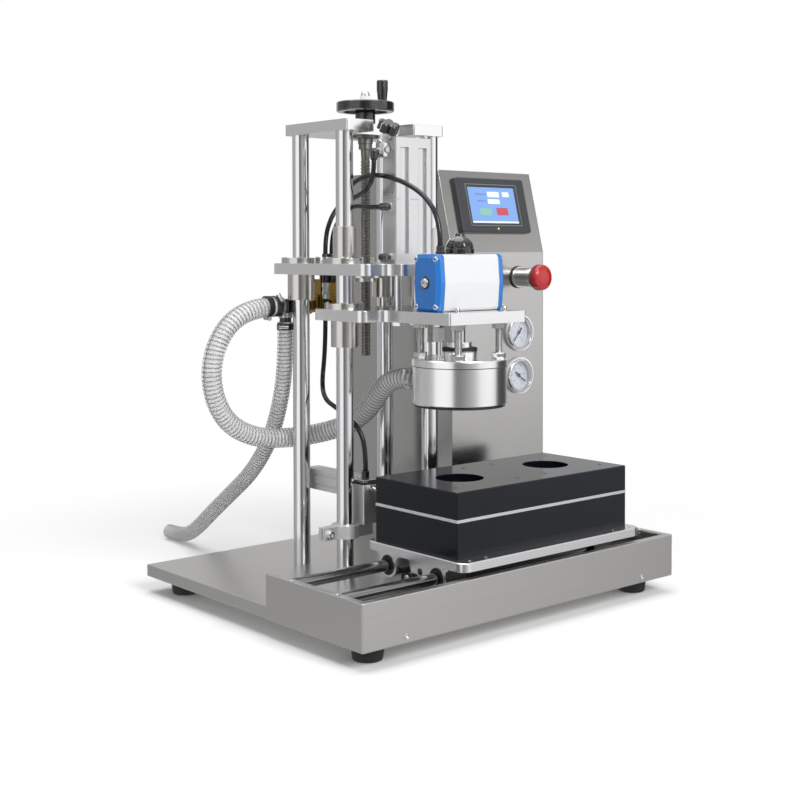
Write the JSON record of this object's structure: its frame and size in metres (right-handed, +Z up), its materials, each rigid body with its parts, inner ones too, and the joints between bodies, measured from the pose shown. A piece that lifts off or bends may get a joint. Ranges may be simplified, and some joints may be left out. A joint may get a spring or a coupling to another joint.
{
  "type": "jar vacuum capping machine",
  "caption": "Bench jar capper: four-column frame with a hand-set lift, a pneumatic press head carrying a vacuum chamber and turning chuck, a sliding two-station jar table and a control cabinet.",
  "frame": {"origin": "on the floor, under the middle of the base plate and its skirt", "axes": "+X to the operator's right along the slide table, +Y to the back, +Z up"},
  "size_m": [0.59, 0.8065, 0.7598],
  "materials": {
    "brushed_stainless": "brushed",
    "black_rubber": "matte",
    "chromed_steel": "polished",
    "bright_steel": "machined",
    "anodised_aluminium": "satin",
    "dark_grey_plastic": "matte",
    "black_plastic": "satin",
    "clear_hose": "satin",
    "black_tube": "gloss",
    "black_acetal": "matte",
    "brass_valve": "satin",
    "silver_body": "satin",
    "blue_caps": "satin",
    "red_plastic": "gloss"
  },
  "bodies": {
    "frame": {"base_plate": "brushed_stainless", "feet": "black_rubber", "tray_skirt": "brushed_stainless", "columns": "chromed_steel", "top_plate": "anodised_aluminium", "frame_screws": "bright_steel", "screw_bearing": "bright_steel", "rails": "chromed_steel", "rail_end_blocks": "anodised_aluminium", "cabinet_shell": "brushed_stainless", "cabinet_back": "brushed_stainless", "hmi_housing": "dark_grey_plastic", "gauge_cases": "bright_steel", "estop_collar": "bright_steel", "column_clamp": "anodised_aluminium", "lock_bracket": "anodised_aluminium", "lock_cylinder": "anodised_aluminium", "lock_fitting": "black_plastic", "pump_hose": "clear_hose", "tube_supply": "black_tube"},
    "table": {"slide_table": "anodised_aluminium", "bearing_housings": "anodised_aluminium", "linear_bearings": "bright_steel", "fixture_lower": "black_acetal", "fixture_divider": "anodised_aluminium", "fixture_upper": "black_acetal"},
    "handwheel": {"lead_screw": "bright_steel", "handwheel": "black_plastic", "handwheel_nut": "chromed_steel"},
    "handle": {"handle_grip": "black_plastic"},
    "lift": {"lift_plate": "anodised_aluminium", "lift_bushes": "bright_steel", "lift_nut": "bright_steel", "press_cylinder": "anodised_aluminium", "air_fittings": "black_plastic", "vacuum_valve": "brass_valve", "hose_tee": "black_plastic", "loop_hose": "clear_hose", "tube_top": "black_tube", "tube_port": "black_tube", "tube_actuator": "black_tube"},
    "star_knob": {"star_knob": "black_plastic"},
    "head": {"head_plate": "anodised_aluminium", "head_bushes": "bright_steel", "piston_rods": "chromed_steel", "actuator_body": "silver_body", "actuator_caps": "blue_caps", "head_fittings": "bright_steel", "chamber_lid": "anodised_aluminium", "chamber_bell": "anodised_aluminium", "chamber_seal": "black_rubber", "chamber_studs": "bright_steel", "shaft_gland": "anodised_aluminium"},
    "spindle": {"spindle_shaft": "bright_steel", "capping_chuck": "bright_steel", "position_indicator": "black_plastic"},
    "estop_head": {"estop_head": "red_plastic"},
    "needle_upper": {"needle_upper": "black_plastic"},
    "needle_lower": {"needle_lower": "black_plastic"},
    "lock_pin": {"lock_pin": "bright_steel"}
  },
  "joints": [
    {"name": "table_slide", "type": "slide", "parent": "frame", "child": "table", "axis": [1, 0, 0], "range_m": [-0.172, 0]},
    {"name": "lift_slide", "type": "slide", "parent": "frame", "child": "lift", "axis": [0, 0, 1], "range_m": [0, 0.05], "deforming": ["pump_hose", "tube_supply"]},
    {"name": "press_slide", "type": "slide", "parent": "lift", "child": "head", "axis": [0, 0, 1], "range_m": [-0.1, 0], "deforming": ["loop_hose", "tube_actuator"]},
    {"name": "spindle_turn", "type": "hinge", "parent": "head", "child": "spindle", "pos_m": [-0.031, -0.142, 0.4], "axis": [0, 0, 1], "range_deg": [0, 90]},
    {"name": "handwheel_turn", "type": "hinge", "parent": "frame", "child": "handwheel", "pos_m": [-0.031, 0.062, 0.7], "axis": [0, 0, 1], "range_deg": [-3600, 0]},
    {"name": "handle_spin", "type": "hinge", "parent": "handwheel", "child": "handle", "pos_m": [0.002, 0.062, 0.73], "axis": [0, 0, 1], "continuous": true},
    {"name": "star_knob_turn", "type": "hinge", "parent": "lift", "child": "star_knob", "pos_m": [-0.072, -0.0365, 0.67272], "axis": [0, -0.5, 0.866], "range_deg": [-180, 180]},
    {"name": "estop_press", "type": "slide", "parent": "frame", "child": "estop_head", "axis": [0, 1, 0], "range_m": [0, 0.004], "stiffness_N_per_m": 900, "springref_m": -0.002},
    {"name": "needle_upper_turn", "type": "hinge", "parent": "frame", "child": "needle_upper", "pos_m": [0.233, 0.002, 0.374], "axis": [0, 1, 0], "range_deg": [0, 270]},
    {"name": "needle_lower_turn", "type": "hinge", "parent": "frame", "child": "needle_lower", "pos_m": [0.233, 0.002, 0.306], "axis": [0, 1, 0], "range_deg": [-250, 0]},
    {"name": "lock_pin_slide", "type": "slide", "parent": "frame", "child": "lock_pin", "axis": [0, -1, 0], "range_m": [0, 0.014]}
  ],
  "couplings": [
    {"joint": "handwheel_turn", "follows": "lift_slide", "rad_per_m": -1256.6}
  ]
}
